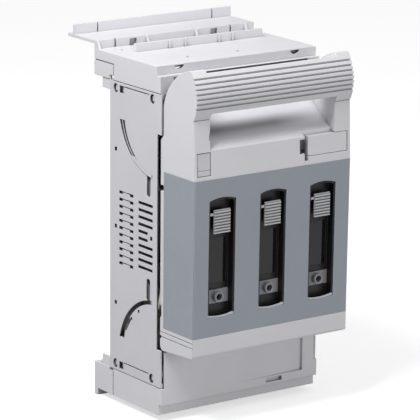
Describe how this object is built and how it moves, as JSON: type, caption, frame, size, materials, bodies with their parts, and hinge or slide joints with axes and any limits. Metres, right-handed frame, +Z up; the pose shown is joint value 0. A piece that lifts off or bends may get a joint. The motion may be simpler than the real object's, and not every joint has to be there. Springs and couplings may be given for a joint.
{
  "type": "fuse switch disconnector",
  "caption": "Narrow upright pole block with a hinged ribbed-grip lid, dark windows, louvred side walls and hooks for flat busbars behind.",
  "frame": {"origin": "middle of the overall width and depth, at the height of the lowest edge", "axes": "+X across the poles to the right as seen from the lid, +Y from the lid towards the busbars, +Z up along the poles"},
  "size_m": [0.1068, 0.123, 0.2077],
  "materials": {
    "case_plastic": "fine moulded grain",
    "cover_plastic": "fine moulded grain",
    "panel_plastic": "fine moulded grain",
    "black_plastic": "smooth moulded",
    "grey_plastic": "ribbed moulded",
    "bracket_plastic": "smooth moulded",
    "smoked_pane": "smoked, polished",
    "plated_copper": "silver plated, satin",
    "spring_steel": "rolled",
    "plated_steel": "zinc plated",
    "arc_board": "pressed fibre board",
    "arc_steel": "sheared sheet"
  },
  "bodies": {
    "switch_base": {"case": "case_plastic", "bottom_cover": "cover_plastic", "top_cover": "cover_plastic", "hook_screws": "plated_steel", "terminal_screws": "plated_steel", "terminal_washers": "plated_steel", "upper_contact_1": "plated_copper", "lower_contact_1": "plated_copper", "upper_jaw_spring_1": "spring_steel", "lower_jaw_spring_1": "spring_steel", "busbar_hook_1": "plated_copper", "arc_chute_1": "arc_board", "arc_plates_1": "arc_steel", "upper_contact_2": "plated_copper", "lower_contact_2": "plated_copper", "upper_jaw_spring_2": "spring_steel", "lower_jaw_spring_2": "spring_steel", "busbar_hook_2": "plated_copper", "arc_chute_2": "arc_board", "arc_plates_2": "arc_steel", "upper_contact_3": "plated_copper", "lower_contact_3": "plated_copper", "upper_jaw_spring_3": "spring_steel", "lower_jaw_spring_3": "spring_steel", "busbar_hook_3": "plated_copper", "arc_chute_3": "arc_board", "arc_plates_3": "arc_steel"},
    "lid": {"lid_frame": "cover_plastic", "lid_panel": "panel_plastic", "fuse_carrier": "black_plastic", "marker_plate": "cover_plastic", "hinge_pin_left": "plated_steel", "hinge_pin_right": "plated_steel", "window_pane_1": "smoked_pane", "window_pane_2": "smoked_pane", "window_pane_3": "smoked_pane", "fuse_holder_1": "black_plastic", "fuse_holder_2": "black_plastic", "fuse_holder_3": "black_plastic", "probe_bracket_1": "bracket_plastic", "probe_bracket_2": "bracket_plastic", "probe_bracket_3": "bracket_plastic"},
    "lock": {"lock_slide": "cover_plastic"},
    "latch_1": {"fuse_latch_1": "grey_plastic"},
    "latch_2": {"fuse_latch_2": "grey_plastic"},
    "latch_3": {"fuse_latch_3": "grey_plastic"}
  },
  "joints": [
    {"name": "lid_hinge", "type": "hinge", "parent": "switch_base", "child": "lid", "pos_m": [0, -0.0337, 0.0469], "axis": [1, 0, 0], "range_deg": [0, 60]},
    {"name": "lock_travel", "type": "slide", "parent": "lid", "child": "lock", "axis": [-1, 0, 0], "range_m": [0, 0.0022]},
    {"name": "latch_1_travel", "type": "slide", "parent": "lid", "child": "latch_1", "axis": [0, 0, 1], "range_m": [0, 0.003]},
    {"name": "latch_2_travel", "type": "slide", "parent": "lid", "child": "latch_2", "axis": [0, 0, 1], "range_m": [0, 0.003]},
    {"name": "latch_3_travel", "type": "slide", "parent": "lid", "child": "latch_3", "axis": [0, 0, 1], "range_m": [0, 0.003]}
  ]
}
